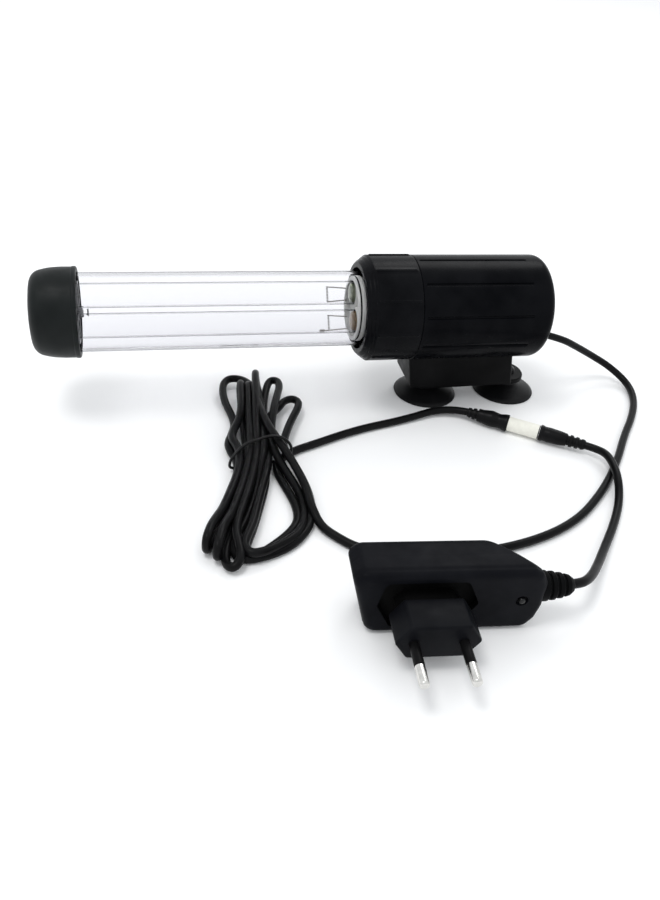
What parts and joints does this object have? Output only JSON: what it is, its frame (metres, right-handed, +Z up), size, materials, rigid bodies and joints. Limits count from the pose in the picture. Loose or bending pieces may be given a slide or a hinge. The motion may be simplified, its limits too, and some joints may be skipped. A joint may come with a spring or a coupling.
{
  "type": "submersible uv clarifier lamp",
  "caption": "Ultraviolet lamp in a clear quartz sleeve on a ribbed black housing with suction-cup bracket, inline connector and wall adapter.",
  "frame": {"origin": "centre of the lamp's footprint at the suction cups' underside, the cord and what is on it left out", "axes": "+X along the lamp axis from the rubber end cap to the cable gland, +Z up from the suction cups"},
  "size_m": [0.3295, 0.2387, 0.0795],
  "materials": {
    "housing_abs": "satin black moulded plastic",
    "ring_abs": "satin black moulded plastic",
    "bracket_plastic": "black plastic",
    "soft_rubber": "soft matte black",
    "cup_rubber": "soft black",
    "gasket_rubber": "black",
    "seal_silicone": "white silicone",
    "quartz": "clear polished quartz",
    "lamp_glass": "clear polished glass",
    "filament_metal": "fine wire and pinched stem",
    "lamp_plastic": "white",
    "pin_brass": "bare",
    "clip_steel": "spring steel",
    "socket_plastic": "off-white",
    "board": "green circuit board",
    "choke": "ferrite and tape",
    "can_metal": "capacitor cans",
    "chip": "black packages",
    "wire_cover": "pale insulation",
    "cord_rubber": "satin black cord",
    "tie_wire": "black tie",
    "connector_plastic": "satin black",
    "label_paper": "cream-white sticker",
    "contact_metal": "plated",
    "adapter_plastic": "fine matte black",
    "block_plastic": "fine matte black",
    "mains_pin": "bright nickel",
    "pin_cover_plastic": "black insulating cover",
    "led_plastic": "clear dark lens"
  },
  "bodies": {
    "housing": {"rear_housing": "housing_abs", "cable_gland": "soft_rubber", "lamp_socket": "socket_plastic", "socket_contacts": "pin_brass", "ballast_board": "board", "ballast_choke": "choke", "ballast_capacitors": "can_metal", "ballast_transistors": "chip", "bracket": "bracket_plastic", "jack_body": "connector_plastic", "jack_contact": "contact_metal", "jack_label": "label_paper", "plug_body": "connector_plastic", "plug_barrel": "contact_metal", "adapter_front": "adapter_plastic", "adapter_back": "adapter_plastic", "plug_block": "block_plastic", "plug_pins": "mains_pin", "pin_covers": "pin_cover_plastic", "led_lens": "led_plastic", "adapter_boot": "soft_rubber", "adapter_board": "board", "adapter_transformer": "choke", "adapter_capacitors": "can_metal", "lamp_lead": "cord_rubber", "jack_lead": "cord_rubber", "adapter_lead": "cord_rubber", "cord_hank": "cord_rubber", "hank_tie": "tie_wire", "inner_wires": "wire_cover"},
    "sleeve": {"glass_sleeve": "quartz", "sleeve_gasket": "gasket_rubber", "sleeve_seal": "seal_silicone"},
    "ring": {"clamp_ring": "ring_abs"},
    "cap": {"end_cap": "soft_rubber"},
    "bulb": {"lamp_tubes": "lamp_glass", "lamp_filaments": "filament_metal", "lamp_base": "lamp_plastic", "lamp_pins": "pin_brass", "lamp_clip": "clip_steel"},
    "cup_front": {"suction_cup_front": "cup_rubber"},
    "cup_back": {"suction_cup_back": "cup_rubber"}
  },
  "joints": [
    {"name": "sleeve_slide", "type": "slide", "parent": "housing", "child": "sleeve", "axis": [-1, 0, 0], "range_m": [0, 0.0076]},
    {"name": "ring_turn", "type": "hinge", "parent": "sleeve", "child": "ring", "pos_m": [0.04, 0, 0.0525], "axis": [-1, 0, 0], "range_deg": [0, 900]},
    {"name": "cap_pull", "type": "slide", "parent": "sleeve", "child": "cap", "axis": [-1, 0, 0], "range_m": [0, 0.022]},
    {"name": "bulb_pull", "type": "slide", "parent": "housing", "child": "bulb", "axis": [-1, 0, 0], "range_m": [0, 0.011]},
    {"name": "cup_front_swivel", "type": "hinge", "parent": "housing", "child": "cup_front", "pos_m": [0.0702, 0, 0.0105], "axis": [0, 0, 1], "continuous": true},
    {"name": "cup_back_swivel", "type": "hinge", "parent": "housing", "child": "cup_back", "pos_m": [0.1171, 0, 0.0105], "axis": [0, 0, 1], "continuous": true}
  ],
  "couplings": [
    {"joint": "sleeve_slide", "follows": "ring_turn", "m_per_rad": 0.00047746}
  ]
}
